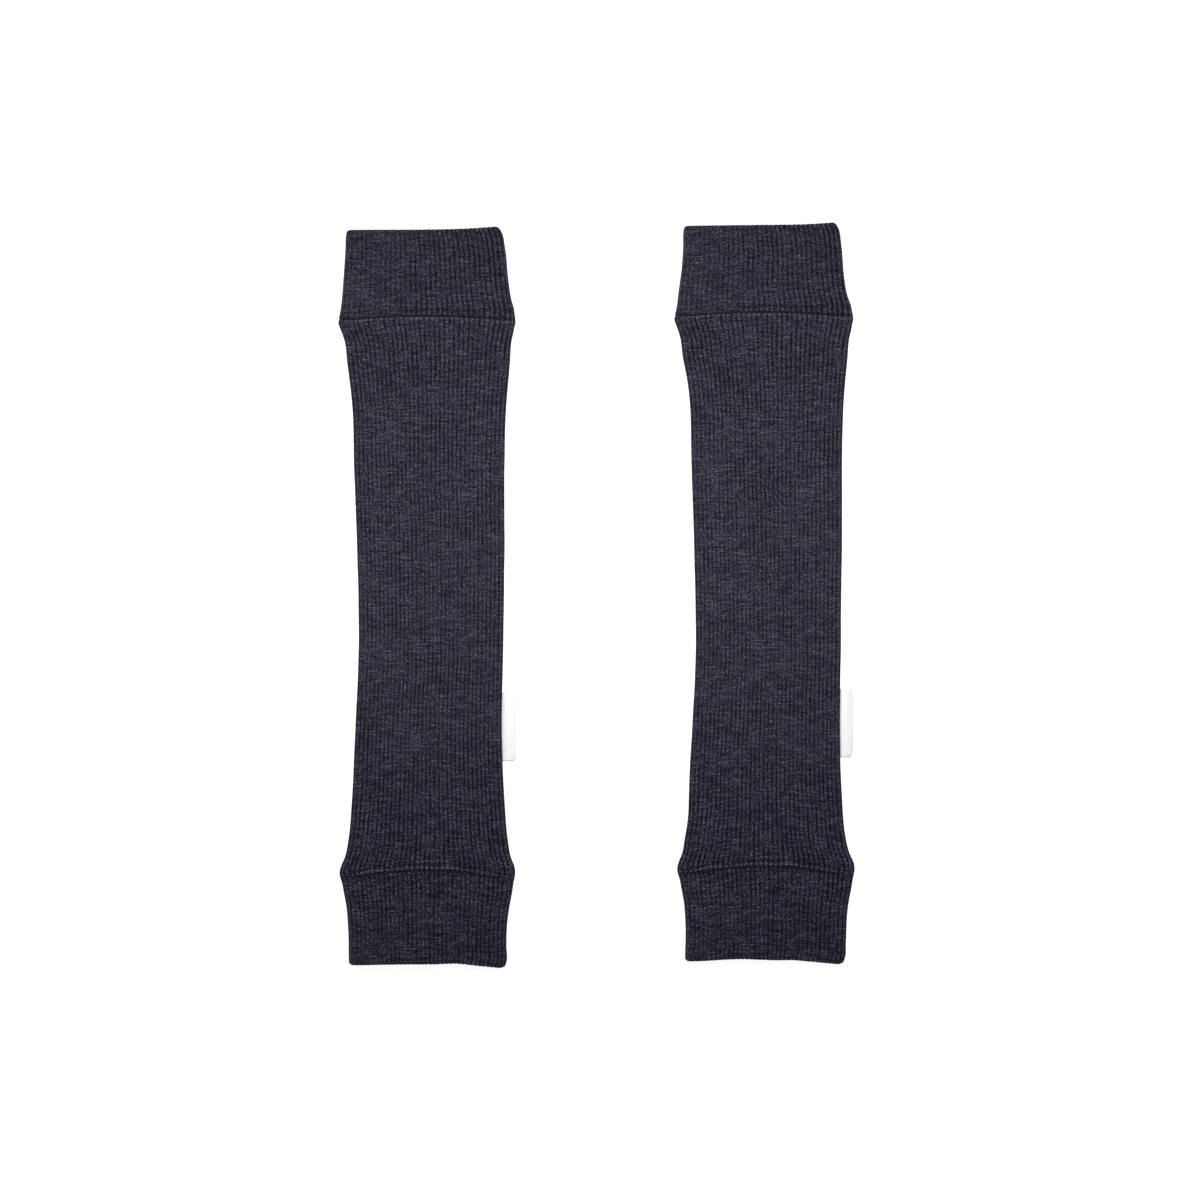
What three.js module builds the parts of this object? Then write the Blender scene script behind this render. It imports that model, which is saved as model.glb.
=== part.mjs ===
// Pair of small leg warmers in fine rib knit, laid flat side by side.
// Millimetres, +Z up: X across the pair, Y along the legs, Z = 0 the surface that they lie on.
// Each one is a rib panel closed by a side seam, a doubled cuff at each end, and a folded
// label caught in the side seam. The origin is on that surface, under the middle of the pair.
import * as THREE from "three";

// Driving dimensions, in mm
const pairPitch = 168.6; // from one centre line to the other
const twinLead = 1.9; // the right-hand one lies this much further along Y
const panelWall = 1.6; // one layer of rib knit, at a rib's crest
const cuffWall = 2.6; // the cuff band is folded double
const ribDepth = 0.5; // from crest to furrow
const seamGap = 0.3; // between pieces that are sewn together
const seamRoll = 0.5; // how far a sewn edge turns down into its seam
const crown = 0.5; // how much the upper layer rises in its middle

// Ribs from the foot of one side fold, over the top, to the foot of the other
const ribCount = { panel: 41, upperCuff: 38, lowerCuff: 44 };

// Steps round a tube, over its top and across its underside
const ribbedUnderside = 7;
const plainSteps = { over: 16, under: 5 };
const rimSteps = 4; // round the fold at the free end of a cuff

const clothMaterial = { color: 0x33333d, roughness: 0.95, metalness: 0 };
const labelMaterial = { color: 0xf1f1ef, roughness: 0.5, metalness: 0 };

// A row for each section. y: where it meets the side folds; left and right: the folds, from
// the centre line; height: both layers as they lie; bow: how much further along +Y its
// middle is; lift: how much further along +Y its right-hand corner is.
const panelSections = [
  { y: 138.6, left: -44.5, right: 44.1, height: 5.6, bow: 1.9, lift: 0 },
  { y: 136.6, left: -44.3, right: 43.8, height: 5.7, bow: 1.9, lift: 0 },
  { y: 134.5, left: -43.6, right: 43.2, height: 5.6, bow: 1.8, lift: 0 },
  { y: 132.3, left: -42.7, right: 42.8, height: 5.4, bow: 1.7, lift: 0 },
  { y: 128.0, left: -41.3, right: 41.9, height: 5.0, bow: 1.5, lift: 0 },
  { y: 118.0, left: -40.1, right: 41.2, height: 4.6, bow: 1.0, lift: 0 },
  { y: 94.0, left: -37.4, right: 39.2, height: 4.3, bow: 0.3, lift: 0 },
  { y: 68.0, left: -36.7, right: 38.4, height: 4.2, bow: 0, lift: 0 },
  { y: 24.0, left: -35.1, right: 38.4, height: 4.2, bow: 0, lift: 0 },
  { y: -26.0, left: -34.3, right: 37.7, height: 4.2, bow: 0, lift: 0 },
  { y: -70.0, left: -36.2, right: 37.0, height: 4.3, bow: 0.5, lift: 0 },
  { y: -102.0, left: -37.7, right: 38.4, height: 4.5, bow: 1.5, lift: 0 },
  { y: -122.0, left: -39.5, right: 40.1, height: 4.9, bow: 2.7, lift: 0 },
  { y: -130.0, left: -41.1, right: 41.5, height: 5.2, bow: 3.2, lift: 0 },
  { y: -135.0, left: -43.2, right: 43.4, height: 5.5, bow: 3.6, lift: 0 },
  { y: -137.8, left: -43.9, right: 43.9, height: 5.7, bow: 3.8, lift: 0 },
  { y: -140.2, left: -44.0, right: 43.9, height: 5.6, bow: 3.8, lift: 0 },
];

// Cuff sections run from the seam to the fold at the free end.
const upperCuffSections = [
  { y: 138.9, left: -44.4, right: 44.0, height: 6.2, bow: 1.9, lift: 0 },
  { y: 141.2, left: -43.8, right: 43.5, height: 6.5, bow: 1.8, lift: 0 },
  { y: 143.8, left: -43.3, right: 43.1, height: 6.7, bow: 1.6, lift: 0 },
  { y: 148.5, left: -42.6, right: 41.9, height: 6.8, bow: 1.3, lift: 0 },
  { y: 158.5, left: -41.8, right: 40.2, height: 6.8, bow: 0.7, lift: 0.3 },
  { y: 174.0, left: -40.8, right: 38.7, height: 6.8, bow: 0, lift: 1.1 },
  { y: 180.8, left: -40.5, right: 37.3, height: 6.6, bow: 0, lift: 1.5 },
  { y: 183.5, left: -40.0, right: 35.4, height: 6.4, bow: 0, lift: 1.6 },
];
const lowerCuffSections = [
  { y: -140.5, left: -43.9, right: 43.8, height: 6.2, bow: 3.8, lift: 0 },
  { y: -142.6, left: -42.8, right: 43.1, height: 6.5, bow: 3.5, lift: 0 },
  { y: -147.5, left: -41.7, right: 42.2, height: 6.8, bow: 2.8, lift: 0 },
  { y: -155.0, left: -40.4, right: 40.8, height: 6.8, bow: 1.8, lift: 0 },
  { y: -163.0, left: -39.7, right: 39.7, height: 6.8, bow: 1.1, lift: -0.4 },
  { y: -173.0, left: -39.3, right: 39.4, height: 6.8, bow: 0.6, lift: -1.0 },
  { y: -180.6, left: -39.0, right: 39.3, height: 6.6, bow: 0.5, lift: -1.4 },
  { y: -183.5, left: -38.5, right: 37.4, height: 6.4, bow: 0.5, lift: -1.5 },
];

// Where the folds of the right-hand one lie off those of the left-hand one
const twinShifts = [
  { y: 186, left: 0, right: 0 },
  { y: 162, left: 0, right: -0.7 },
  { y: 142, left: -0.7, right: 0.1 },
  { y: 120, left: -0.7, right: 0 },
  { y: 108, left: 0.3, right: 0.1 },
  { y: 88, left: 0.7, right: 0 },
  { y: 66, left: 0.1, right: 0.1 },
  { y: -66, left: 0, right: 0.1 },
  { y: -110, left: 0.9, right: -0.7 },
  { y: -132, left: -0.4, right: 1.0 },
  { y: -156, left: 0.1, right: 1.0 },
  { y: -170, left: 0, right: 1.4 },
  { y: -186, left: -0.5, right: 0.6 },
];

// The label, from its lower end to its upper one. along: from its middle; reach: how far
// its fold stands out of the side seam.
const labelShape = { middleY: -65, thickness: 1, droop: 1 };
const labelSections = [
  { along: -17, reach: 4.4 },
  { along: -15.8, reach: 5.6 },
  { along: -13, reach: 6.4 },
  { along: -5, reach: 6.7 },
  { along: 5, reach: 6.7 },
  { along: 13, reach: 6.5 },
  { along: 17, reach: 6.2 },
];

// The row of a table at a given y, worked out between the two rows next to it
function rowAt(table, y) {
  const rows = [...table].sort((a, b) => a.y - b.y);
  const upper = rows.findIndex((row) => row.y >= y);
  if (upper <= 0) return rows[upper === 0 ? 0 : rows.length - 1];
  const [a, b] = [rows[upper - 1], rows[upper]];
  const share = (y - a.y) / (b.y - a.y);
  const between = (key) => [key, THREE.MathUtils.lerp(a[key], b[key], share)];
  return Object.fromEntries(Object.keys(a).map(between));
}

// The sections of one leg warmer: those of the table, moved by its own shifts
function ownSections(table, shifts) {
  return table.map((section) => {
    const shift = rowAt(shifts, section.y);
    return {
      ...section,
      left: section.left + shift.left,
      right: section.right + shift.right,
    };
  });
}

// The turns of a ring's points. A turn runs from 0 at the foot of the left fold, over the
// top, to 0.5 at the foot of the right fold, and back across the underside to 1.
function turnsOf(over, under) {
  const turns = [];
  for (let i = 0; i <= over; i++) turns.push(i / over / 2);
  for (let i = 1; i <= under; i++) turns.push(0.5 + i / (under + 1) / 2);
  return turns;
}

// The point of a section at a turn, at some depth under its outer skin
function skinPoint(section, turn, depth) {
  const { left, right, height } = section;
  const foldRadius = height / 2;
  const foldLength = Math.PI * foldRadius;
  const span = right - left - 2 * foldRadius;
  const overTop = 2 * foldLength + span;
  const travel = 2 * turn * overTop;
  const point = new THREE.Vector3();
  if (turn > 0.5) {
    point.set(right - foldRadius - (2 * turn - 1) * span, 0, depth);
  } else if (travel < foldLength || travel > foldLength + span) {
    const onLeft = travel < foldLength;
    const angle = (onLeft ? travel : overTop - travel) / foldRadius;
    const reach = (foldRadius - depth) * Math.sin(angle);
    point.x = onLeft ? left + foldRadius - reach : right - foldRadius + reach;
    point.z = foldRadius - (foldRadius - depth) * Math.cos(angle);
  } else {
    const fromFold = travel - foldLength;
    const middle = (2 * fromFold) / span - 1;
    point.x = left + foldRadius + fromFold;
    point.z = height - depth + crown * (1 - middle * middle);
  }
  const across = (2 * point.x - left - right) / (right - left);
  const corner = Math.max(0, across) ** 3;
  point.y = section.y + section.bow * (1 - across * across) + section.lift * corner;
  return point;
}

// A ring round the tube, with furrows between its ribs. The underside has none.
function ribbedRing(section, ribs, { depth = 0, furrowDepth = ribDepth, back = 0 }) {
  const turns = turnsOf(2 * ribs, ribbedUnderside);
  const points = turns.map((turn, i) => {
    const inFurrow = turn < 0.5 && i % 2 === 1;
    return skinPoint(section, turn, depth + (inFurrow ? furrowDepth : 0));
  });
  points.forEach((point) => {
    point.y -= back;
  });
  return { turns, points };
}

// A ring of the plain inside
function plainRing(section, depth) {
  const turns = turnsOf(plainSteps.over, plainSteps.under);
  const points = turns.map((turn) => skinPoint(section, turn, depth));
  return { turns, points };
}

// The triangles between two rings, which may have different numbers of points
function bandIndices(a, b) {
  const indices = [];
  const [countA, countB] = [a.turns.length, b.turns.length];
  let i = 0;
  let j = 0;
  while (i < countA || j < countB) {
    const nextA = i < countA ? (a.turns[i + 1] ?? 1) : Infinity;
    const nextB = j < countB ? (b.turns[j + 1] ?? 1) : Infinity;
    indices.push(a.start + (i % countA), b.start + (j % countB));
    if (nextA <= nextB) {
      i += 1;
      indices.push(a.start + (i % countA));
    } else {
      j += 1;
      indices.push(b.start + (j % countB));
    }
  }
  return indices;
}

function meshGeometry(points, indices) {
  const positions = points.flatMap((point) => point.toArray());
  const geometry = new THREE.BufferGeometry();
  geometry.setAttribute("position", new THREE.Float32BufferAttribute(positions, 3));
  geometry.setIndex(indices);
  geometry.computeVertexNormals();
  return geometry;
}

// Joins rings into one closed wall: each ring to the next, and the last to the first
function wallGeometry(rings) {
  let start = 0;
  rings.forEach((ring) => {
    ring.start = start;
    start += ring.points.length;
  });
  const indices = rings.flatMap((ring, i) => bandIndices(ring, rings[(i + 1) % rings.length]));
  return meshGeometry(rings.flatMap((ring) => ring.points), indices);
}

// The leg panel: a ribbed tube whose two ends roll down into the cuff seams
function panelGeometry(sections) {
  const last = sections.length - 1;
  const outer = sections.map((section, i) => {
    const sewn = i === 0 || i === last;
    return ribbedRing(section, ribCount.panel, { depth: sewn ? seamRoll : 0 });
  });
  const inner = sections.map((section) => plainRing(section, panelWall));
  return wallGeometry([...outer, ...inner.reverse()]);
}

// A doubled cuff: from its seam out to the fold at the free end, round it, and back inside
function cuffGeometry(sections, ribs, towards) {
  const end = sections.at(-1);
  const rimRadius = cuffWall / 2;
  const outer = sections
    .slice(0, -1)
    .map((section, i) => ribbedRing(section, ribs, { depth: i === 0 ? seamRoll : 0 }));
  const rim = [];
  for (let i = 1; i < rimSteps; i++) {
    const angle = (Math.PI * i) / rimSteps;
    const depth = rimRadius * (1 - Math.cos(angle));
    const back = towards * rimRadius * (1 - Math.sin(angle));
    const furrowDepth = ribDepth * (1 - i / rimSteps);
    rim.push(ribbedRing(end, ribs, { depth, back, furrowDepth }));
  }
  const inner = sections.slice(0, -1).map((section) => plainRing(section, cuffWall));
  const rings = [...outer, ...rim, ...inner.reverse()];
  return wallGeometry(towards > 0 ? rings.reverse() : rings);
}

// The label, folded once: it leaves the side seam level, droops a little and ends in its fold
function labelGeometry(sections) {
  const { middleY, thickness, droop } = labelShape;
  const half = thickness / 2;
  const rows = labelSections.map(({ along, reach }) => {
    const y = middleY + along;
    const { right, height } = rowAt(sections, y);
    const root = right + seamGap;
    const at = (share, up) =>
      new THREE.Vector3(root + share * reach, y, height / 2 - droop * share * share + up);
    return [
      at(0, -half),
      at(0, half),
      at(0.45, half),
      at(0.93, half * 0.8),
      at(1, 0),
      at(0.93, -half * 0.8),
      at(0.45, -half),
    ];
  });
  return barGeometry(rows);
}

// Joins rows of points into a solid bar with flat ends
function barGeometry(rows) {
  const count = rows[0].length;
  const last = (rows.length - 1) * count;
  const indices = [];
  for (let from = 0; from < rows.length - 1; from++) {
    for (let i = 0; i < count; i++) {
      const next = (i + 1) % count;
      const [a, b] = [from * count + i, from * count + next];
      const [c, d] = [b + count, a + count];
      indices.push(a, b, c, a, c, d);
    }
  }
  for (let i = 1; i < count - 1; i++) {
    indices.push(0, i + 1, i, last, last + i, last + i + 1);
  }
  return meshGeometry(rows.flat(), indices);
}

function namedMesh(name, geometry, look) {
  const mesh = new THREE.Mesh(geometry, new THREE.MeshStandardMaterial(look));
  mesh.name = name;
  return mesh;
}

// One leg warmer about its own centre line
function legWarmer(side, shifts) {
  const panel = ownSections(panelSections, shifts);
  const upper = ownSections(upperCuffSections, shifts);
  const lower = ownSections(lowerCuffSections, shifts);
  const upperCuff = cuffGeometry(upper, ribCount.upperCuff, 1);
  const lowerCuff = cuffGeometry(lower, ribCount.lowerCuff, -1);
  const group = new THREE.Group();
  group.add(
    namedMesh(`${side}_leg_panel`, panelGeometry(panel), clothMaterial),
    namedMesh(`${side}_upper_cuff`, upperCuff, clothMaterial),
    namedMesh(`${side}_lower_cuff`, lowerCuff, clothMaterial),
    namedMesh(`${side}_label`, labelGeometry(panel), labelMaterial),
  );
  return group;
}

const leftWarmer = legWarmer("left", [{ y: 0, left: 0, right: 0 }]);
const rightWarmer = legWarmer("right", twinShifts);
leftWarmer.position.x = -pairPitch / 2;
rightWarmer.position.set(pairPitch / 2, twinLead, 0);

const pair = new THREE.Group();
pair.add(leftWarmer, rightWarmer);

// Puts the origin under the middle of the pair
const middle = new THREE.Box3().setFromObject(pair).getCenter(new THREE.Vector3());
leftWarmer.position.sub(new THREE.Vector3(middle.x, middle.y, 0));
rightWarmer.position.sub(new THREE.Vector3(middle.x, middle.y, 0));

export default pair;
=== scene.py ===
import math

import bmesh
import bpy
import numpy as np
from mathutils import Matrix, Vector


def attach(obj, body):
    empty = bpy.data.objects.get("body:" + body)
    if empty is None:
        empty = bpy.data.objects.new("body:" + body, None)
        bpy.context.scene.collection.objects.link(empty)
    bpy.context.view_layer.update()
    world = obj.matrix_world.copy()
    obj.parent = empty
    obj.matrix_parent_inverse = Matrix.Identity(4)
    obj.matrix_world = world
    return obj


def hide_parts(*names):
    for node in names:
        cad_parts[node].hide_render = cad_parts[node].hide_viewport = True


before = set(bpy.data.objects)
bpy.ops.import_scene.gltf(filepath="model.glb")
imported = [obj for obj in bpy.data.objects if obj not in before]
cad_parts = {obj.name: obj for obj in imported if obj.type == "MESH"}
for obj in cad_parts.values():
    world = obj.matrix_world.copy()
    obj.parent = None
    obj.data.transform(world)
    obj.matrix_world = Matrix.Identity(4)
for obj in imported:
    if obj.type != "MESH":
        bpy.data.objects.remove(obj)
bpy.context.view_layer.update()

mm = 0.001

# How the pair lies. centre: each one's own centre line and middle, in the part's frame;
# brim and hem: waves of its upper and lower free edge, each with its place, half width and
# rise; tucked: how much deeper the right-hand one's label is caught in its seam
pairSettings = {
    "left": {
        "centre": (-84.6, -1.02),
        "twin": False,
        "brim": [(24, 24, 0.4)],
        "hem": [(14, 7, 0.55)],
        "tucked": 0,
    },
    "right": {
        "centre": (84.0, 0.88),
        "twin": True,
        "brim": [(12, 42, 0.65)],
        "hem": [(-13, 14, 0.8), (14, 6, 0.4)],
        "tucked": 0.5,
    },
}


# Camera: straight down, far enough for a frame 600 mm wide
cameraSettings = {
    "lens": 85,
    "sensor": 36,
    "frameWidth": 600,
    "lookAt": (1.6, -2.5, 4),
    "clip": (0.05, 100),  # in metres
}


def makeCamera(settings):
    data = bpy.data.cameras.new("studio camera")
    data.lens = settings["lens"]
    data.sensor_width = settings["sensor"]
    data.clip_start, data.clip_end = settings["clip"]
    camera = bpy.data.objects.new("studio_camera", data)
    bpy.context.scene.collection.objects.link(camera)
    x, y, z = (value * mm for value in settings["lookAt"])
    distance = settings["frameWidth"] * mm * settings["lens"] / settings["sensor"]
    camera.location = (x, y, z + distance)
    bpy.context.scene.camera = camera


makeCamera(cameraSettings)
print("camera placed")


# Sections of the tubes, in mm. y: where a section meets the side folds; left and right: the
# folds, from the centre line; height: both layers; bow: how far its middle leads along +Y;
# lift: how far its right-hand corner leads along +Y.
columnNames = ("y", "left", "right", "height", "bow", "lift")
panelSections = [
    (138.6, -44.6, 44.0, 5.6, 1.6, 0),
    (136.6, -44.7, 44.0, 5.7, 1.6, 0),
    (134.5, -44.0, 43.4, 5.6, 1.55, 0),
    (132.3, -43.1, 43.0, 5.4, 1.5, 0),
    (128.0, -41.7, 42.1, 5.0, 1.4, 0),
    (118.0, -40.5, 41.4, 4.6, 1.0, 0),
    (94.0, -37.8, 39.4, 4.3, 0.3, 0),
    (68.0, -37.1, 38.6, 4.2, 0, 0),
    (24.0, -35.5, 38.6, 4.2, 0, 0),
    (-26.0, -34.7, 37.9, 4.2, 0, 0),
    (-70.0, -36.6, 37.2, 4.3, 0.5, 0),
    (-102.0, -38.1, 38.6, 4.5, 1.5, 0),
    (-122.0, -39.9, 40.3, 4.9, 2.7, 0),
    (-130.0, -41.5, 41.7, 5.2, 3.2, 0),
    (-135.0, -43.6, 43.6, 5.5, 3.8, 0),
    (-137.8, -44.2, 43.9, 5.7, 3.9, 0),
    (-140.2, -43.9, 43.6, 5.6, 3.9, 0),
]
upperCuffSections = [
    (138.9, -44.6, 44.0, 6.2, 1.6, 0),
    (141.2, -44.1, 43.6, 6.5, 1.55, 0),
    (143.8, -43.6, 43.3, 6.7, 1.4, 0),
    (148.5, -43.0, 42.0, 6.8, 1.2, 0),
    (158.5, -42.2, 40.4, 6.8, 0.7, 0.3),
    (174.0, -41.2, 38.7, 6.8, 0, 1.1),
    (180.8, -40.9, 37.1, 6.6, 0, 1.5),
    (183.5, -40.4, 35.3, 6.4, 0, 1.6),
]
lowerCuffSections = [
    (-140.5, -43.8, 43.6, 6.2, 3.9, 0),
    (-142.6, -43.1, 43.1, 6.5, 3.6, 0),
    (-147.5, -42.1, 42.4, 6.8, 3.0, 0),
    (-155.0, -40.7, 41.0, 6.8, 1.8, 0),
    (-163.0, -40.0, 39.9, 6.8, 1.1, -0.4),
    (-173.0, -39.6, 39.5, 6.8, 0.6, -1.0),
    (-181.6, -39.5, 39.4, 6.6, 0.5, -1.4),
    (-183.0, -39.4, 38.9, 6.5, 0.5, -1.5),
    (-184.1, -38.8, 37.6, 6.4, 0.5, -1.5),
]
shiftNames = ("y", "left", "right")  # the right-hand one's folds, off the left-hand one's
twinShifts = [
    (186, 0.1, 0),
    (162, 0.3, -0.6),
    (150, -0.4, -0.5),
    (142, -0.4, 0.1),
    (134, -0.6, 0.5),
    (120, -0.7, 0.3),
    (108, 0.1, 0.2),
    (84, 0.3, 0.3),
    (40, 0.1, 0.4),
    (0, 0, 0.2),
    (-35, 0.2, 0.5),
    (-66, 0.1, 0.7),
    (-96, -0.2, 0.3),
    (-110, 0.3, 0.2),
    (-124, -0.1, 0.4),
    (-132, 0.2, 1),
    (-156, 0.2, 1),
    (-170, 0, 1.3),
    (-186, -0.6, 0.3),
]


# Values of every column at the heights y, on smooth curves through the rows
def smoothRows(table, names, y):
    rows = np.array(sorted(table), float)
    knots = rows[:, 0]
    i = np.clip(np.searchsorted(knots, y) - 1, 0, len(knots) - 2)
    width = knots[i + 1] - knots[i]
    t = np.clip((y - knots[i]) / width, 0, 1)
    values = {}
    for column, name in enumerate(names[1:], 1):
        heights = rows[:, column]
        slopes = np.gradient(heights, knots)
        values[name] = (
            (2 * t**3 - 3 * t**2 + 1) * heights[i]
            + (t**3 - 2 * t**2 + t) * width * slopes[i]
            + (3 * t**2 - 2 * t**3) * heights[i + 1]
            + (t**3 - t**2) * width * slopes[i + 1]
        )
    return values


def sectionsAt(table, y, twin):
    clipped = np.clip(y, min(row[0] for row in table), max(row[0] for row in table))
    section = smoothRows(table, columnNames, clipped)
    if twin:
        shift = smoothRows(twinShifts, shiftNames, clipped)
        section["left"] = section["left"] + shift["left"]
        section["right"] = section["right"] + shift["right"]
    section["y"] = y
    return {name: value[:, None] for name, value in section.items()}


# Points at some depth under a tube's skin. A turn runs from 0 at the foot of the left fold,
# over the top, to 0.5 at the foot of the right fold, and back across the underside to 1.
crownHeight = 0.5  # how much higher the middle lies than the sides, in mm
# How much a bowed section dips before the side folds, in the upper half and in the lower one
dips = {"upper": 1.6, "lowerLeft": 1.1, "lowerRight": 2.2}


def skinPoints(section, turn, depth):
    left, right, height = section["left"], section["right"], section["height"]
    foldRadius = height / 2
    foldLength = math.pi * foldRadius
    span = right - left - height
    overTop = 2 * foldLength + span
    travel = 2 * turn * overTop
    under = turn > 0.5
    onLeft = ~under & (travel < foldLength)
    onRight = ~under & (travel > foldLength + span)
    angle = np.where(onLeft, travel, overTop - travel) / foldRadius
    reach = (foldRadius - depth) * np.sin(angle)
    roundZ = foldRadius - (foldRadius - depth) * np.cos(angle)
    fromFold = travel - foldLength
    middle = 2 * fromFold / span - 1
    flatX = left + foldRadius + fromFold
    flatZ = height - depth + crownHeight * (1 - middle**2)
    underX = right - foldRadius - (2 * turn - 1) * span
    places = [under, onLeft, onRight]
    x = np.select(places, [underX, left + foldRadius - reach, right - foldRadius + reach], flatX)
    z = np.select(places, [depth + 0 * x, roundZ, roundZ], flatZ)
    across = (2 * x - left - right) / (right - left)
    corner = np.clip(across, 0, None) ** 3
    lowerDip = np.where(across > 0, dips["lowerRight"], dips["lowerLeft"])
    dip = np.where(section["y"] > 0, dips["upper"], lowerDip)
    bend = (1 - across**2) * (1 - dip * across**4)
    y = section["y"] + section["bow"] * bend + section["lift"] * corner
    return x, y, z


# A slow ripple between -1 and 1 over the cloth, from a few waves that never line up
def ripple(x, y, wave, seed):
    phases = np.random.default_rng(seed).uniform(0, 2 * math.pi, 4)
    turns = ((1, 0.35), (-0.6, 0.8), (0.3, -1.15), (0.85, 1.3))
    total = sum(
        np.sin(2 * math.pi * (a * x + b * y) / wave + phase)
        for (a, b), phase in zip(turns, phases)
    )
    return total / len(turns)


# Creases, listed one by one. x and y: the middle of the crease, in mm from the centre line; length
# and
# width in mm; rise: above the cloth, or below it if negative; angle: from +X, in degrees.
creaseNames = ("x", "y", "length", "width", "rise", "angle")
creases = [
    (-37, 131, 14, 3.0, -0.30, 62),
    (-33, 126, 18, 3.6, 0.22, 66),
    (36, 130, 13, 3.2, -0.28, 112),
    (30, 124, 20, 4.0, 0.16, 104),
    (-36, -131, 13, 3.0, -0.30, 118),
    (-31, -125, 18, 3.6, 0.22, 112),
    (37, -131, 12, 3.0, -0.30, 62),
    (-33, -142.8, 20, 2.4, -0.42, 3),
    (-31, -145.0, 22, 3.0, 0.3, 3),
    (-32, -147.4, 18, 2.8, -0.46, 4),
    (38.5, -144.8, 11, 3.0, -0.55, 128),
    (24.5, -176.2, 11, 2.4, -1.0, 78),
    (28.5, -177.6, 13, 3.2, 0.42, 66),
    (32.5, -176, 13, 2.6, -0.75, 62),
    (21, -181, 9, 2.6, -0.4, 40),
    (33, 172, 22, 3.6, -0.20, 98),
    (-30, 176, 18, 4.0, -0.14, 84),
    (-6, 40, 46, 9.0, -0.20, 80),
    (12, -20, 60, 11.0, 0.16, 95),
    (-14, -88, 44, 9.0, -0.16, 100),
    (20, 88, 38, 8.0, -0.16, 88),
]
# The right-hand one is creased alike, but not the same: its creases are moved, and have a share
# of the rise. So have the undersides of both
twinCreases = {"x": 2.5, "y": -3, "share": 0.85}
underCreases = {"x": -3, "y": 7, "share": 0.6}


def creaseRise(x, y, twin):
    rise = 0 * x
    for row in creases:
        crease = dict(zip(creaseNames, row))
        if twin:
            crease["x"] += twinCreases["x"]
            crease["y"] += twinCreases["y"]
            crease["rise"] *= twinCreases["share"]
        angle = math.radians(crease["angle"])
        dx, dy = x - crease["x"], y - crease["y"]
        along = (dx * math.cos(angle) + dy * math.sin(angle)) / (crease["length"] / 2)
        off = (dy * math.cos(angle) - dx * math.sin(angle)) / (crease["width"] / 2)
        rise = rise + crease["rise"] * np.exp(-(along**2) - off**2)
    return rise


# The rib knit, in mm. One rib is a raised band with a narrow furrow on each side.
knitSettings = {
    "ribPitch": 2.1,
    "ribDepth": 0.5,
    "cloth": 1.2,
    "leastCloth": 0.3,  # what a furrow leaves of the cloth
    "unlike": 0.3,  # how much one furrow's depth differs from the next, as a share
    "sideSeam": 1.7,  # how much deeper the side seam is than a furrow
    # The furrows' usual strength, and how much it changes from patch to patch
    "strength": 0.8,
    "patches": 0.3,
    "patchWave": 46,
    "closing": 0.9,  # how much more shut the furrows are for each mm that a crease goes down, in deeper relief and in darker painted shade
    "wander": 0.24,  # how far a rib strays sideways
    "wanderWave": 30,
    "swell": 0.08,  # how far the cloth rises and sinks between the creases
    "swellWave": 60,
}
halfWidth = 40  # about half the width of a leg warmer
# The seams gather the ribs, which stand closer and deeper there; the added depth also darkens the
# painted shade in their furrows. y, how far, added depth
ribGather = [(122, 26, 0.2), (-120, 30, 0.46)]
# Towards the lower end the yarn's tones spread further from their middle, and a painted blue tint
# stands in for the bluer light that falls there.
# y, strength
grainAndBlueLightRows = ([-186, -150, -112, -45, 186], [1.22, 1.26, 1.26, 1, 1])
# A seam is pulled flat towards the side folds: where that starts and ends, as shares of the way
# from the middle to the left and to the right fold, for the upper and then the lower seam
seamFades = np.array([[(0.93, 1), (0.6, 1)], [(0.77, 0.92), (0.7, 0.9)]])
seamPull = 0.85  # the share of a seam's relief, and of its painted shade and highlight, that is gone there
# Seam edges by depth: a painted highlight where the rolled up cloth stands out, painted shade in
# the groove, and fainter painted shade in the troughs beside it
seamShades = ([-0.22, -0.05, 0.14, 0.28, 0.42], [-0.3, 0, 0.04, 0.6, 1])
# Across one rib: how far along it, and how deep as a share of the furrow
ribProfile = [(0, 0), (0.2, 0.08), (0.34, 0.5), (0.5, 1), (0.66, 0.5), (0.8, 0.08)]
# The waves of the free edges: how far from the middle they start, and the way to their full rise
freeEdge = {"start": 166, "reach": 18}


# The columns of a tube, six to a rib: where they are, counted in ribs, how far round the tube,
# and how deep the ribs' relief is there
def ribColumns(ribs, seamRib):
    shares, furrows = np.array(ribProfile).T
    ribCount = ribs["over"] + ribs["under"]
    ribAt = (np.arange(ribCount)[:, None] + shares).ravel()
    turn = np.where(
        ribAt <= ribs["over"],
        ribAt / ribs["over"] / 2,
        0.5 + (ribAt - ribs["over"]) / ribs["under"] / 2,
    )
    relief = np.tile(furrows, ribCount) * knitSettings["ribDepth"]
    unlike = np.sin(2.4 * np.rint(ribAt - 0.5) ** 1.3)  # another value for each furrow
    relief = relief * (1 + knitSettings["unlike"] * unlike)
    atSeam = abs(ribAt - seamRib) < 0.3
    relief = np.where(atSeam, relief * knitSettings["sideSeam"], relief)
    return ribAt, turn, relief


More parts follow.
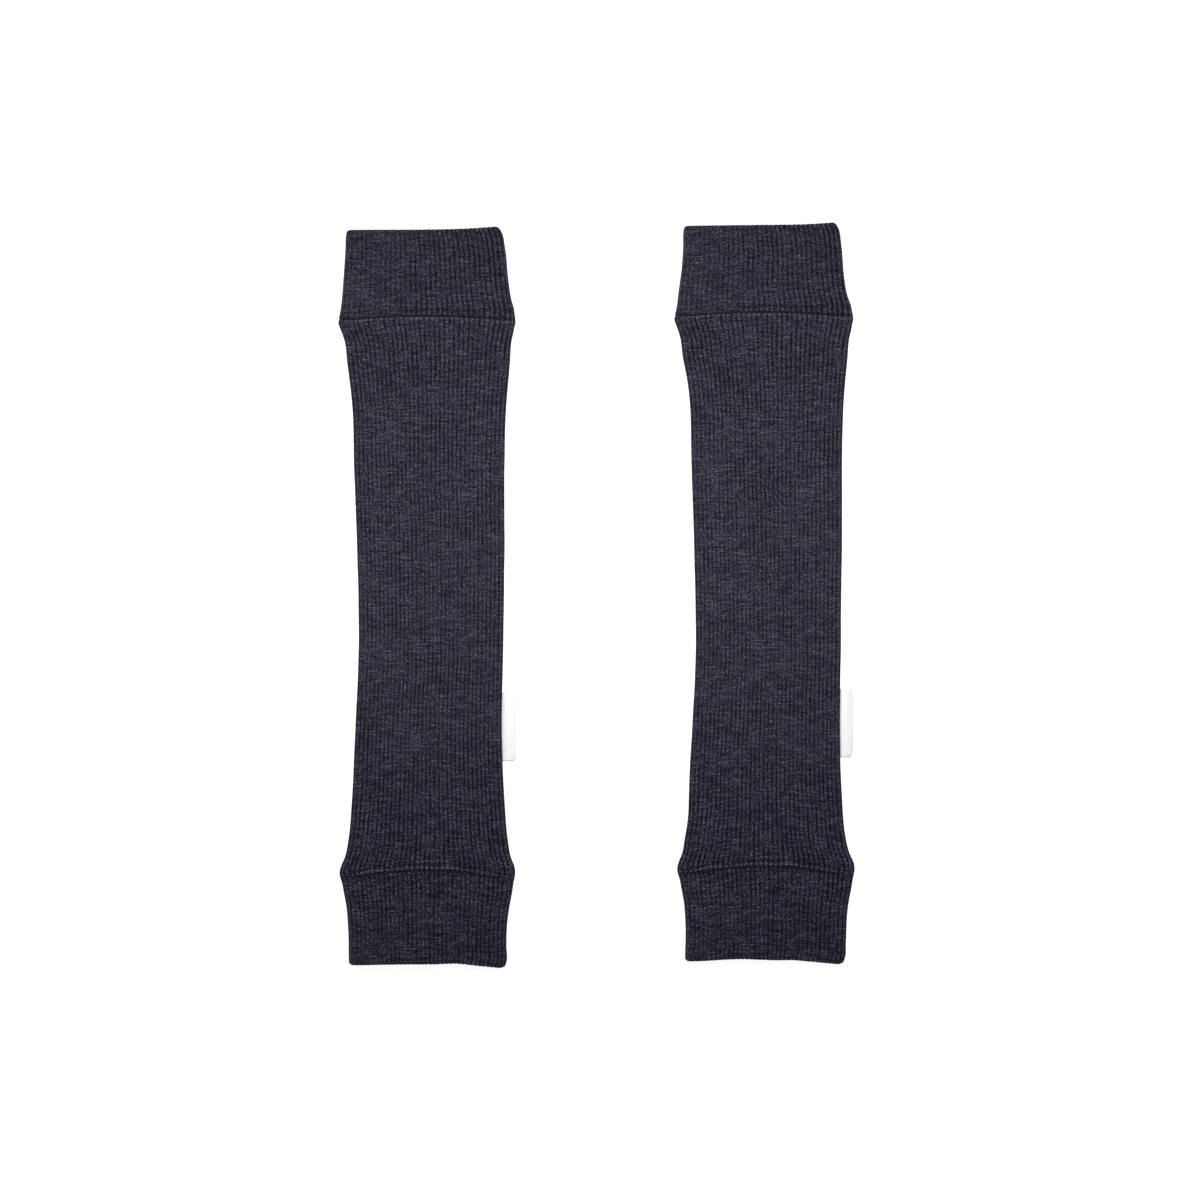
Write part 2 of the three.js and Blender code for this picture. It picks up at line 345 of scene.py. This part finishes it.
# A closed tube wall from a grid of points in mm, one row for each row of the path. The lines
# are the UV map's values for each column and row and for where the grid closes; values go into
# point attributes
def wrapGrid(name, points, columnLine, rowLine, values):
    rows, columns, _ = points.shape
    bm = bmesh.new()
    bm.loops.layers.uv.new("knit")
    bmesh.ops.create_grid(bm, x_segments=columns, y_segments=rows, size=1, calc_uvs=True)
    mesh = bpy.data.meshes.new(name)
    bm.to_mesh(mesh)
    flat = np.zeros(len(mesh.vertices) * 3)
    mesh.vertices.foreach_get("co", flat)
    gridX, gridY = flat.reshape(-1, 3)[:, :2].T
    column = np.rint((gridX + 1) / 2 * columns).astype(int) % columns
    row = np.rint((gridY + 1) / 2 * rows).astype(int) % rows
    mesh.vertices.foreach_set("co", (points[row, column] * mm).ravel())

    knitMap = mesh.uv_layers["knit"]
    flat = np.zeros(len(mesh.loops) * 2)
    knitMap.uv.foreach_get("vector", flat)
    mapX, mapY = flat.reshape(-1, 2).T
    mapColumn = np.rint(mapX * columns).astype(int)
    mapRow = np.rint(mapY * rows).astype(int)
    uv = np.stack([columnLine[mapColumn], rowLine[mapRow]], 1)
    knitMap.uv.foreach_set("vector", uv.ravel())
    for label, value in values.items():
        layer = mesh.attributes.new(label, "FLOAT", "POINT")
        layer.data.foreach_set("value", value[row, column])

    # The grid's last row and column lie on its first ones
    bm.clear()
    bm.from_mesh(mesh)
    bmesh.ops.remove_doubles(bm, verts=bm.verts, dist=1e-7)
    bmesh.ops.reverse_faces(bm, faces=bm.faces)
    bm.to_mesh(mesh)
    bm.free()
    mesh.shade_smooth()
    piece = bpy.data.objects.new(name, mesh)
    bpy.context.scene.collection.objects.link(piece)
    return piece


# One knitted tube. Each row of its path has y, depth, how strong its ribs are, whether it is
# part of an edge at a seam, and its distance along the cloth
def knitTube(name, path, table, settings, side, seed):
    knit, lie = knitSettings, pairSettings[side]
    twin = lie["twin"]
    ribAt, turn, relief = ribColumns(settings["ribs"], settings["seamRib"])
    pathY, depth, ribbing, edge, along = np.array(path).T
    # The way into the cloth, square to the path
    stepY = np.roll(pathY, -1) - np.roll(pathY, 1)
    stepDepth = np.roll(depth, -1) - np.roll(depth, 1)
    size = np.hypot(stepY, stepDepth)
    intoY, intoDepth = stepDepth / size, -stepY / size

    # How strong the furrows are, in relief and in the painted shade that the material puts in them
    section = sectionsAt(table, pathY, twin)
    left, right = section["left"], section["right"]
    roughX, roughY, _ = skinPoints(section, turn[None, :], depth[:, None])
    strength = knit["strength"] + knit["patches"] * ripple(roughX, roughY, knit["patchWave"], seed)
    strength = strength + settings["crisp"] * roughX / halfWidth
    for seamY, wide, share in ribGather:
        strength = strength + share * np.exp(-(((roughY - seamY) / wide) ** 2))
    strength = strength - knit["closing"] * np.minimum(creaseRise(roughX, roughY, twin), 0)
    push = np.minimum(relief[None, :] * strength, knit["cloth"] - knit["leastCloth"])
    push = push * ribbing[:, None]

    # Ribs and seam edges move the points into the cloth
    reach = (2 * roughX - left - right) / (right - left)
    fades = seamFades[(pathY[:, None] < 0).astype(int), (reach > 0).astype(int)]
    start, end = fades[..., 0], fades[..., 1]
    toFold = np.clip((abs(reach) - start) / (end - start), 0, 1) ** 1.5
    pulled = 1 - seamPull * edge[:, None] * toFold
    deep = depth[:, None] * pulled + push * intoDepth[:, None]
    x, y, z = skinPoints(section, turn[None, :], deep)
    y = y + push * intoY[:, None]

    # The ribs wander, the free edges wave, and the cloth swells and creases
    onTop = np.clip(z / section["height"], 0, 1) ** 2
    inside = np.clip(1 - abs(2 * x - left - right) / (2 * halfWidth), 0, 1) ** 0.5
    x = x + knit["wander"] * ripple(x, y, knit["wanderWave"], seed + 1) * inside
    for sign, waves in ((1, lie["brim"]), (-1, lie["hem"])):
        nearEdge = np.clip((sign * y - freeEdge["start"]) / freeEdge["reach"], 0, 1) ** 2
        for middle, wide, rise in waves:
            y = y + rise * nearEdge * np.exp(-(((x - middle) / wide) ** 2))
    swell = knit["swell"] * ripple(x, y, knit["swellWave"], seed + 2)
    z = z + onTop * (creaseRise(x, y, twin) + swell)
    # Underneath, a crease lifts the cloth off the floor, whichever way it goes
    under = creaseRise(-x + underCreases["x"], y + underCreases["y"], twin)
    z = z + underCreases["share"] * (1 - onTop) ** 2 * abs(under)
    z = np.maximum(z, 0)

    centreX, centreY = lie["centre"]
    columnLine = np.append(ribAt, sum(settings["ribs"].values()))
    rowLine = np.append(along, 2 * along[-1] - along[-2]) / knit["ribPitch"]
    # Attributes for the material: how strong the painted shade in the furrows is; the painted
    # shade in the seam grooves and the painted highlight on their rolled edges; and the yarn's
    # wider tone spread with the painted blue light towards the lower end
    values = {
        "furrows": strength,
        "seam": edge[:, None] * pulled * np.interp(depth, *seamShades)[:, None],
        "grainAndBlueLight": np.interp(roughY, *grainAndBlueLightRows),
    }
    return wrapGrid(name, np.stack([x + centreX, y + centreY, z], 2), columnLine, rowLine, values)


# Adds the distance along the cloth to a path of y, depth, ribbing and edge
def measured(path):
    along, total = [], 0
    for i, row in enumerate(path):
        if i:
            total += math.hypot(row[0] - path[i - 1][0], row[1] - path[i - 1][1])
        along.append((*row, total))
    return along


# Edges at the cuff seams, each a list of: back from the seam, depth, how strong the ribs are.
# The leg's ends roll over into the seams. The seam allowance lies towards the upper end in
# both, so the cloth just above each seam is lifted, with a soft trough where the allowance stops.
legTopEdge = [
    (3.4, 0, 1),
    (2.6, 0.05, 1),
    (1.9, 0.02, 1),
    (1.4, -0.1, 1),
    (0.95, -0.22, 1),
    (0.5, -0.18, 1),
    (0.22, 0.02, 1),
    (0, 0.36, 0.8),
    (-0.22, 0.9, 0.2),
    (-0.18, 1.15, 0),
]
legBottomEdge = [
    (5.2, 0, 1),
    (4.0, 0.04, 1),
    (3.2, 0.15, 1),
    (2.6, 0.21, 1),
    (2.0, 0.1, 1),
    (1.4, -0.1, 1),
    (0.95, -0.23, 1),
    (0.5, -0.14, 1),
    (0.16, 0.16, 1),
    (-0.08, 0.52, 0.8),
    (-0.25, 0.9, 0.2),
    (-0.2, 1.15, 0),
]
upperSeamEdge = [
    (5.0, 0, 1),
    (3.9, 0.07, 1),
    (3.1, 0.16, 1),
    (2.5, 0.18, 1),
    (1.8, 0.09, 1),
    (1.35, 0.02, 1),
    (0.9, 0.02, 1),
    (0.52, 0.06, 1),
    (0.26, 0.32, 1),
    (0.04, 0.66, 0.8),
    (-0.2, 0.97, 0.2),
    (-0.1, 1.12, 0),
]
lowerSeamEdge = [
    (3.0, 0, 1),
    (2.0, 0.01, 1),
    (1.2, 0.04, 1),
    (0.7, 0.07, 1),
    (0.34, 0.22, 1),
    (0.06, 0.6, 0.8),
    (-0.22, 0.97, 0.2),
    (-0.1, 1.12, 0),
]
panelSettings = {
    "top": 138.6,
    "bottom": -140.2,
    "rowStep": 1.8,
    "insideStep": 18,
    "insideInset": 1,  # from each end to the first row of the inside
    "ribs": {"over": 40, "under": 33},
    "seamRib": 38.5,
    "crisp": 0.06,  # how much stronger the ribs are on the right than on the left
}


def panelPath(settings):
    top, bottom = settings["top"], settings["bottom"]
    path = [(top - back, deep, ribbing, 1) for back, deep, ribbing in reversed(legTopEdge)]
    first, last = top - legTopEdge[0][0], bottom + legBottomEdge[0][0]
    steps = round((first - last) / settings["rowStep"])
    path += [(y, 0, 1, 0) for y in np.linspace(first, last, steps + 1)[1:-1]]
    path += [(bottom + back, deep, ribbing, 1) for back, deep, ribbing in legBottomEdge]
    steps = round((top - bottom) / settings["insideStep"])
    inset = settings["insideInset"]
    inner = np.linspace(bottom + inset, top - inset, steps + 1)
    path += [(y, knitSettings["cloth"], 0, 0) for y in inner]
    return measured(path)


# A cuff band, folded double. q runs from the seam to the fold at the free end.
upperCuffSettings = {
    "seam": 138.9,
    "free": 183.5,
    "edge": upperSeamEdge,
    "rowStep": 1.0,
    "ribs": {"over": 39, "under": 31},
    "seamRib": 37.5,
    "crisp": 0.42,
}
lowerCuffSettings = {
    "seam": -140.5,
    "free": -184.1,
    "edge": lowerSeamEdge,
    "rowStep": 1.0,
    "ribs": {"over": 44, "under": 34},
    "seamRib": 42.5,
    "crisp": 0.1,
}
bandSettings = {
    "gap": 0.1,  # between the band's two layers
    "foldSteps": 10,
    "foldRibbing": 0.5,  # how strong the ribs are round the fold
    "hiddenRows": 8,  # of each layer's hidden face
    "hiddenStart": 0.6,  # how far from the seam these rows start
    "insideStart": 0.7,  # and those of the inside of the mouth
}
# The inner layer's end at the seam: back from it, share of the cloth, how strong the ribs are
innerSeamEdge = [(0.15, 0.3, 0), (0, 0.6, 0.2), (0.15, 0.85, 0.6)]


def cuffPath(settings):
    cloth, gap, edge = knitSettings["cloth"], bandSettings["gap"], settings["edge"]
    thick = 2 * cloth + gap
    foldRadius = thick / 2
    length = abs(settings["free"] - settings["seam"])
    straight = length - foldRadius
    steps = round((straight - edge[0][0]) / settings["rowStep"])
    foldSteps = bandSettings["foldSteps"]
    path = []
    for i in range(foldSteps):  # round the fold, from the inside of the mouth to the outside
        angle = math.pi * (1 - i / foldSteps)
        out, deep = math.sin(angle), 1 - math.cos(angle)
        q = straight + foldRadius * out
        path.append((q, foldRadius * deep, bandSettings["foldRibbing"], 0))
    for q in np.linspace(straight, edge[0][0], steps + 1)[:-1]:  # the outer layer
        path.append((q, 0, 1, 0))
    path += [(*row, 1) for row in edge]
    hidden = np.linspace(bandSettings["hiddenStart"], straight, bandSettings["hiddenRows"])
    path += [(q, cloth, 0, 0) for q in hidden]  # its hidden face, back up
    path.append((straight + gap / 2, foldRadius, 0, 0))
    path += [(q, cloth + gap, 0, 0) for q in hidden[::-1]]  # the inner layer's hidden face
    path += [(q, thick - cloth * (1 - share), ribbing, 0) for q, share, ribbing in innerSeamEdge]
    first, last = bandSettings["insideStart"], straight - settings["rowStep"]
    path += [(q, thick, 1, 0) for q in np.linspace(first, last, steps // 2)]  # inside the mouth
    sign = 1 if settings["free"] > settings["seam"] else -1
    placed = [(settings["seam"] + sign * q, *rest) for q, *rest in path]
    return measured(placed if sign > 0 else placed[::-1])


# One function adds a node with its settings and its links. A link comes from a socket, or from
# a node's first output
def addNode(tree, kind, settings=None, links=None):
    node = tree.nodes.new(kind)
    for key, value in (settings or {}).items():
        if isinstance(key, int) or key in node.inputs.keys():
            node.inputs[key].default_value = value
        else:
            setattr(node, key, value)
    for key, source in (links or {}).items():
        socket = source.outputs[0] if isinstance(source, bpy.types.Node) else source
        tree.links.new(socket, node.inputs[key])
    return node


# sRGB hex to linear
def colour(code):
    channels = [int(code[i : i + 2], 16) / 255 for i in (1, 3, 5)]
    linear = [c / 12.92 if c <= 0.04045 else ((c + 0.055) / 1.055) ** 2.4 for c in channels]
    return (*linear, 1)


# Fine merino rib knit in melange yarn: dyed fibres of several tones are blended before
# spinning, so every stitch differs a little and each course shows short dashes of its tones.
merinoSettings = {
    "tones": ("#0a0a12", "#1c1c27", "#32323d", "#4b4b58", "#696973"),  # from dark to light
    "middle": 0.521,  # where between the tones the yarn is on average
    # Patterns of the yarn: size across and along the ribs in mm, detail, where it starts, and
    # how much of the tones it uses
    "patterns": {
        "fleck": (0.76, 0.91, 2, 3.1, 1.88),
        "streak": (0.84, 2.6, 1, 7.7, 0.34),
        "dash": (7.5, 0.85, 1, 11.7, 0.76),
        "cloud": (19.6, 5.6, 2, 23.9, 0.17),
        "tint": (1.44, 0.99, 1, 37.3, 0),
        "tintCloud": (19.6, 3.5, 1, 51.1, 0),
        "ribTone": (2.1, 11.0, 1, 67.7, 0),
    },
    "patternRoughness": 0.6,
    # Fibres that are bluer or browner: their colour, and where the tint starts and is full
    "tints": (("#2d3553", 0.51, 0.67), ("#473b3d", 0.46, 0.3)),
    "tintShare": 0.47,
    "tintSpread": 0.22,  # how much the tints gather in clouds
    "paintedBlueLight": 0.3,  # painted blue light: how much bluer the cloth is towards the lower end
    "furrow": 0.41,  # painted shade: how much darker the furrows are, and the next two values likewise
    "wale": 0.08,  # painted shade on the line between the two wales of a rib
    # painted shade in the seam grooves; where the attribute is below zero, a painted highlight on
    # the rolled edges
    "seam": 0.72,
    # Where the lines start and are full, from 0 on a rib's crest to 0.5 in the furrow
    "furrowLine": (0.2, 0.46),
    "waleLine": (0.12, 0),
    # How strong the painted shade of single furrows is: from and to in the pattern, and the least
    # and the most
    "ribTones": {1: 0.32, 2: 0.66, 3: 0.35, 4: 1.35},
    "courseHeight": 0.85,  # in mm; real courses are near 0.6, drawn coarser to show
    "stitchRise": 0.35,  # of the loops and of the fibres' fuzz, as shares of the bump's depth
    "fuzz": 1.2,
    "bump": 0.6,
    "bumpDepth": 0.25,  # in mm
    "roughness": 0.95,
    "sheen": 0.12,
    "sheenRoughness": 0.5,
    "sheenTint": "#b8bccb",
    "ior": 1.5,
    "specular": 0.15,
}


def makeMerino(name, settings):
    material = bpy.data.materials.new(name)
    material.use_nodes = True
    tree = material.node_tree
    tree.nodes.clear()
    pitch = knitSettings["ribPitch"]
    knitMap = addNode(tree, "ShaderNodeUVMap", {"uv_map": "knit"})
    split = addNode(tree, "ShaderNodeSeparateXYZ", {}, {0: knitMap})
    ribsAcross, clothAlong = split.outputs["X"], split.outputs["Y"]
    furrows, seam, grainAndBlueLight = (
        addNode(tree, "ShaderNodeAttribute", {"attribute_name": label}).outputs["Fac"]
        for label in ("furrows", "seam", "grainAndBlueLight")
    )

    # One unit of the map is one rib, so a size in mm is a scale of pitch / size
    patterns = {}
    for pattern, (sizeAcross, sizeAlong, detail, start, _) in settings["patterns"].items():
        place = addNode(
            tree,
            "ShaderNodeMapping",
            {
                "Scale": (pitch / sizeAcross, pitch / sizeAlong, 1),
                "Location": (start, start * 0.7, start * 1.3),  # none shares its noise
            },
            {"Vector": knitMap},
        )
        patterns[pattern] = addNode(
            tree,
            "ShaderNodeTexNoise",
            {"Scale": 1.0, "Detail": detail, "Roughness": settings["patternRoughness"]},
            {"Vector": place},
        )

    # Tones of the fibres, round the yarn's middle
    shares = {pattern: row[-1] for pattern, row in settings["patterns"].items() if row[-1]}
    tone = addNode(
        tree,
        "ShaderNodeMath",
        {"operation": "MULTIPLY_ADD", 1: shares["fleck"], 2: -sum(shares.values()) / 2},
        {0: patterns["fleck"]},
    )
    for pattern in ("streak", "dash", "cloud"):
        tone = addNode(
            tree,
            "ShaderNodeMath",
            {"operation": "MULTIPLY_ADD", 1: shares[pattern]},
            {0: patterns[pattern], 2: tone},
        )
    tone = addNode(
        tree,
        "ShaderNodeMath",
        {"operation": "MULTIPLY_ADD", 2: settings["middle"]},
        {0: tone, 1: grainAndBlueLight},
    )

    # Painted shade: furrows, the lines between wales and the seam grooves are darker, each furrow
    # in its own way, and a painted highlight lightens the rolled seam edges
    fromCrest = addNode(
        tree, "ShaderNodeMath", {"operation": "PINGPONG", 1: 0.5}, {0: ribsAcross}
    )
    ribTone = addNode(
        tree,
        "ShaderNodeMapRange",
        {"interpolation_type": "SMOOTHSTEP", **settings["ribTones"]},
        {0: patterns["ribTone"]},
    )
    furrowLine, waleLine = (
        addNode(
            tree,
            "ShaderNodeMapRange",
            {"interpolation_type": "SMOOTHSTEP", 1: start, 2: end},
            {0: fromCrest},
        )
        for start, end in (settings["furrowLine"], settings["waleLine"])
    )
    strength = addNode(
        tree, "ShaderNodeMath", {"operation": "MULTIPLY"}, {0: furrows, 1: ribTone}
    )
    furrowShade = addNode(
        tree, "ShaderNodeMath", {"operation": "MULTIPLY"}, {0: furrowLine, 1: strength}
    )
    for darker, share in ((furrowShade, "furrow"), (seam, "seam"), (waleLine, "wale")):
        tone = addNode(
            tree,
            "ShaderNodeMath",
            {"operation": "MULTIPLY_ADD", 1: -settings[share]},
            {0: darker, 2: tone},
        )
    yarn = addNode(tree, "ShaderNodeValToRGB", {}, {"Fac": tone})
    stops = yarn.color_ramp.elements
    for i, code in enumerate(settings["tones"]):
        place = i / (len(settings["tones"]) - 1)
        stop = stops[i] if i < 1 else stops.new(place) if place < 1 else stops[-1]
        stop.position = place
        stop.color = colour(code)

    # Bluer and browner fibres, in fine flecks that gather a little in clouds; towards the lower
    # end a painted blue light shifts them bluer
    tintSpread, paintedBlueLight = settings["tintSpread"], settings["paintedBlueLight"]
    shift = addNode(
        tree,
        "ShaderNodeMath",
        {"operation": "MULTIPLY_ADD", 1: tintSpread, 2: -tintSpread / 2 - paintedBlueLight},
        {0: patterns["tintCloud"]},
    )
    shift = addNode(
        tree,
        "ShaderNodeMath",
        {"operation": "MULTIPLY_ADD", 1: paintedBlueLight},
        {0: grainAndBlueLight, 2: shift},
    )
    tint = addNode(
        tree, "ShaderNodeMath", {"operation": "ADD"}, {0: patterns["tint"], 1: shift}
    )
    for code, start, full in settings["tints"]:
        share = addNode(
            tree,
            "ShaderNodeMapRange",
            {"interpolation_type": "SMOOTHSTEP", 1: start, 2: full, 4: settings["tintShare"]},
            {0: tint},
        )
        yarn = addNode(
            tree,
            "ShaderNodeMix",
            {"data_type": "RGBA", "blend_type": "COLOR", 7: colour(code)},
            {0: share, 6: yarn},
        ).outputs[2]

    # Stitches: each rib has two wales of V shaped loops, a course apart
    twoWales = addNode(
        tree, "ShaderNodeMath", {"operation": "MULTIPLY", 1: 2}, {0: ribsAcross}
    )
    wale = addNode(tree, "ShaderNodeMath", {"operation": "PINGPONG", 1: 0.5}, {0: twoWales})
    slant = addNode(
        tree, "ShaderNodeMath", {"operation": "MULTIPLY", 1: 2 * math.pi}, {0: wale}
    )
    course = addNode(
        tree,
        "ShaderNodeMath",
        {"operation": "MULTIPLY_ADD", 1: 2 * math.pi * pitch / settings["courseHeight"]},
        {0: clothAlong, 2: slant},
    )
    loop = addNode(tree, "ShaderNodeMath", {"operation": "SINE"}, {0: course})
    fuzz = addNode(
        tree,
        "ShaderNodeMath",
        {"operation": "MULTIPLY", 1: settings["fuzz"]},
        {0: patterns["fleck"]},
    )
    height = addNode(
        tree,
        "ShaderNodeMath",
        {"operation": "MULTIPLY_ADD", 1: settings["stitchRise"]},
        {0: loop, 2: fuzz},
    )
    bump = addNode(
        tree,
        "ShaderNodeBump",
        {"Strength": settings["bump"], "Distance": settings["bumpDepth"] * mm},
        {"Height": height},
    )
    shader = addNode(
        tree,
        "ShaderNodeBsdfPrincipled",
        {
            "Roughness": settings["roughness"],
            "IOR": settings["ior"],
            "Specular IOR Level": settings["specular"],
            "Sheen Weight": settings["sheen"],
            "Sheen Roughness": settings["sheenRoughness"],
            "Sheen Tint": colour(settings["sheenTint"]),
        },
        {"Base Color": yarn, "Normal": bump},
    )
    addNode(tree, "ShaderNodeOutputMaterial", {}, {"Surface": shader})
    return material


merino = makeMerino("melange merino rib knit", merinoSettings)
print("rib knit material made")


def dress(piece, material, node):
    piece.data.materials.append(material)
    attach(piece, "root")
    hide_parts(node)


# Leg panels and cuffs of both leg warmers
for number, side in enumerate(pairSettings):
    seed = 100 * number
    panel = knitTube(
        f"{side}_leg_knit",
        panelPath(panelSettings),
        panelSections,
        panelSettings,
        side,
        seed + 1,
    )
    dress(panel, merino, f"{side}_leg_panel")
    for part, settings, table in (
        ("upper", upperCuffSettings, upperCuffSections),
        ("lower", lowerCuffSettings, lowerCuffSections),
    ):
        cuff = knitTube(
            f"{side}_{part}_band",
            cuffPath(settings),
            table,
            settings,
            side,
            seed + (11 if part == "upper" else 21),
        )
        dress(cuff, merino, f"{side}_{part}_cuff")
    print(side, "leg warmer knitted")


# The label: white satin ribbon, folded once, its two cut ends caught in the side seam
labelSettings = {
    "middle": -65,  # where its middle is along the leg, in mm
    "length": 34.4,
    "ribbon": 0.22,  # thickness of the ribbon
    "caught": 0.5,  # how deep its cut ends are caught in the side seam
    "slack": 0.8,  # what the seam and the round fold take up of its reach
    "fullness": 0.35,  # the lower, the flatter the ribbon lies out to its fold
    "open": 0.34,  # half the way from one layer to the other
    "belly": 0.9,  # how much further apart they are in between
    "droop": 1.0,
    "wave": 0.12,  # how much more or less it droops along the seam
    "waveLength": 5.2,  # along the seam, in mm for a radian
    "rows": 48,
    "steps": 26,
}
# How far it reaches out of the seam, at places along it
labelNames = ("along", "reach")
labelSections = [
    (-17.2, 5),
    (-16.4, 5.9),
    (-14, 6.4),
    (-5, 6.7),
    (5, 6.7),
    (13, 6.6),
    (17.2, 6.3),
]


def makeLabel(side, material):
    settings, lie = labelSettings, pairSettings[side]
    bm = bmesh.new()
    bm.loops.layers.uv.new("ribbon")
    columns, rows = settings["steps"], settings["rows"]
    bmesh.ops.create_grid(bm, x_segments=columns, y_segments=rows, size=1, calc_uvs=True)
    centreX, centreY = lie["centre"]
    for vert in bm.verts:
        share = (vert.co.x + 1) / 2  # from one cut end, round the fold, to the other
        along = vert.co.y * settings["length"] / 2
        y = settings["middle"] + along
        section = sectionsAt(panelSections, np.array([y]), lie["twin"])
        reach = float(smoothRows(labelSections, labelNames, np.array([along]))["reach"][0])
        root = float(section["right"][0, 0]) - settings["caught"]
        rootZ = float(section["height"][0, 0]) / 2
        out = math.sin(math.pi * share) ** settings["fullness"]
        fold = math.cos(math.pi * share)
        x = root + (reach - lie["tucked"] + settings["slack"]) * out
        wave = settings["wave"] * math.sin(along / settings["waveLength"])
        sag = settings["droop"] * out**2 * (1 + wave)
        belly = settings["belly"] * math.sin(math.pi * min(1, out)) * out
        gap = settings["open"] * (1 + belly)
        vert.co = Vector((x + centreX, y + centreY, rootZ - sag - fold * gap)) * mm
    bmesh.ops.recalc_face_normals(bm, faces=bm.faces)
    mesh = bpy.data.meshes.new(f"{side}_label_ribbon")
    bm.to_mesh(mesh)
    bm.free()
    mesh.shade_smooth()
    piece = bpy.data.objects.new(f"{side}_label_ribbon", mesh)
    bpy.context.scene.collection.objects.link(piece)
    thickness = piece.modifiers.new("ribbon thickness", "SOLIDIFY")
    thickness.thickness = settings["ribbon"] * mm
    thickness.offset = 0
    dress(piece, material, f"{side}_label")


# Woven polyester satin: long floats lie flat on the face, which gives a soft even shine
satinSettings = {
    "white": "#ffffff",
    "shade": "#f6f7f8",
    "mottleScale": 600.0,  # a change of shade each 1.7 mm
    "mottleDetail": 2.0,
    # Bands of the weave, one each 1.6 mm: real floats are ten times finer, drawn coarser to show
    "bandScale": 200.0,
    "bandUnevenness": 0.6,
    "bandDetail": 1.0,
    "bump": 0.25,
    "bumpDepth": 0.05,  # in mm
    "roughness": 0.38,
    "ior": 1.5,
    "sheen": 0.1,
}


def makeSatin(name, settings):
    material = bpy.data.materials.new(name)
    material.use_nodes = True
    tree = material.node_tree
    tree.nodes.clear()
    place = addNode(tree, "ShaderNodeTexCoord").outputs["Object"]
    bands = addNode(
        tree,
        "ShaderNodeTexWave",
        {
            "Scale": settings["bandScale"],
            "Distortion": settings["bandUnevenness"],
            "Detail": settings["bandDetail"],
            "bands_direction": "Y",
        },
        {"Vector": place},
    )
    mottle = addNode(
        tree,
        "ShaderNodeTexNoise",
        {"Scale": settings["mottleScale"], "Detail": settings["mottleDetail"]},
        {"Vector": place},
    )
    tone = addNode(
        tree,
        "ShaderNodeMix",
        {"data_type": "RGBA", 6: colour(settings["white"]), 7: colour(settings["shade"])},
        {0: mottle},
    )
    bump = addNode(
        tree,
        "ShaderNodeBump",
        {"Strength": settings["bump"], "Distance": settings["bumpDepth"] * mm},
        {"Height": bands.outputs["Fac"]},
    )
    shader = addNode(
        tree,
        "ShaderNodeBsdfPrincipled",
        {
            "Roughness": settings["roughness"],
            "IOR": settings["ior"],
            "Sheen Weight": settings["sheen"],
        },
        {"Base Color": tone.outputs[2], "Normal": bump},
    )
    addNode(tree, "ShaderNodeOutputMaterial", {}, {"Surface": shader})
    return material


satin = makeSatin("white woven satin ribbon", satinSettings)
for side in pairSettings:
    makeLabel(side, satin)
print("labels made")


# Studio: a white floor that glows a little, as on a light table, and a long soft strip of
# light low above the upper half, so the cloth gets darker towards the lower cuffs
studioSettings = {
    "floorSize": 24.0,
    "floorDrop": 0.0002,
    "floorColour": "#cccccc",
    "floorRoughness": 0.9,
    "floorSpecular": 0.1,
    "floorGlow": 0.92,
    "world": 0.08,
    "keyPower": 2.05,
    "keySize": (0.8, 0.2),
    "keyPlace": (0, 0.056, 0.31),
}


def stripLight(name, power, size, place):
    data = bpy.data.lights.new(name, "AREA")
    data.shape = "RECTANGLE"
    data.energy = power
    data.size, data.size_y = size
    light = bpy.data.objects.new(name, data)
    bpy.context.scene.collection.objects.link(light)
    light.location = place  # it shines straight down
    light.visible_camera = False


def makeStudio(settings):
    bm = bmesh.new()
    bmesh.ops.create_grid(bm, x_segments=1, y_segments=1, size=settings["floorSize"] / 2)
    bmesh.ops.translate(bm, verts=bm.verts, vec=(0, 0, -settings["floorDrop"]))
    mesh = bpy.data.meshes.new("studio floor")
    bm.to_mesh(mesh)
    bm.free()
    floor = bpy.data.objects.new("studio_floor", mesh)
    bpy.context.scene.collection.objects.link(floor)
    material = bpy.data.materials.new("matt white paper sweep")
    material.use_nodes = True
    tree = material.node_tree
    tree.nodes.clear()
    shader = addNode(
        tree,
        "ShaderNodeBsdfPrincipled",
        {
            "Base Color": colour(settings["floorColour"]),
            "Roughness": settings["floorRoughness"],
            "Specular IOR Level": settings["floorSpecular"],
            "Emission Color": (1, 1, 1, 1),
            "Emission Strength": settings["floorGlow"],
        },
    )
    addNode(tree, "ShaderNodeOutputMaterial", {}, {"Surface": shader})
    mesh.materials.append(material)

    world = bpy.data.worlds.new("studio light")
    bpy.context.scene.world = world
    world.use_nodes = True
    background = world.node_tree.nodes["Background"]
    background.inputs["Color"].default_value = (1, 1, 1, 1)
    background.inputs["Strength"].default_value = settings["world"]
    stripLight("key light", settings["keyPower"], settings["keySize"], settings["keyPlace"])
    bpy.context.scene.view_settings.view_transform = "Standard"


makeStudio(studioSettings)
print("studio made")
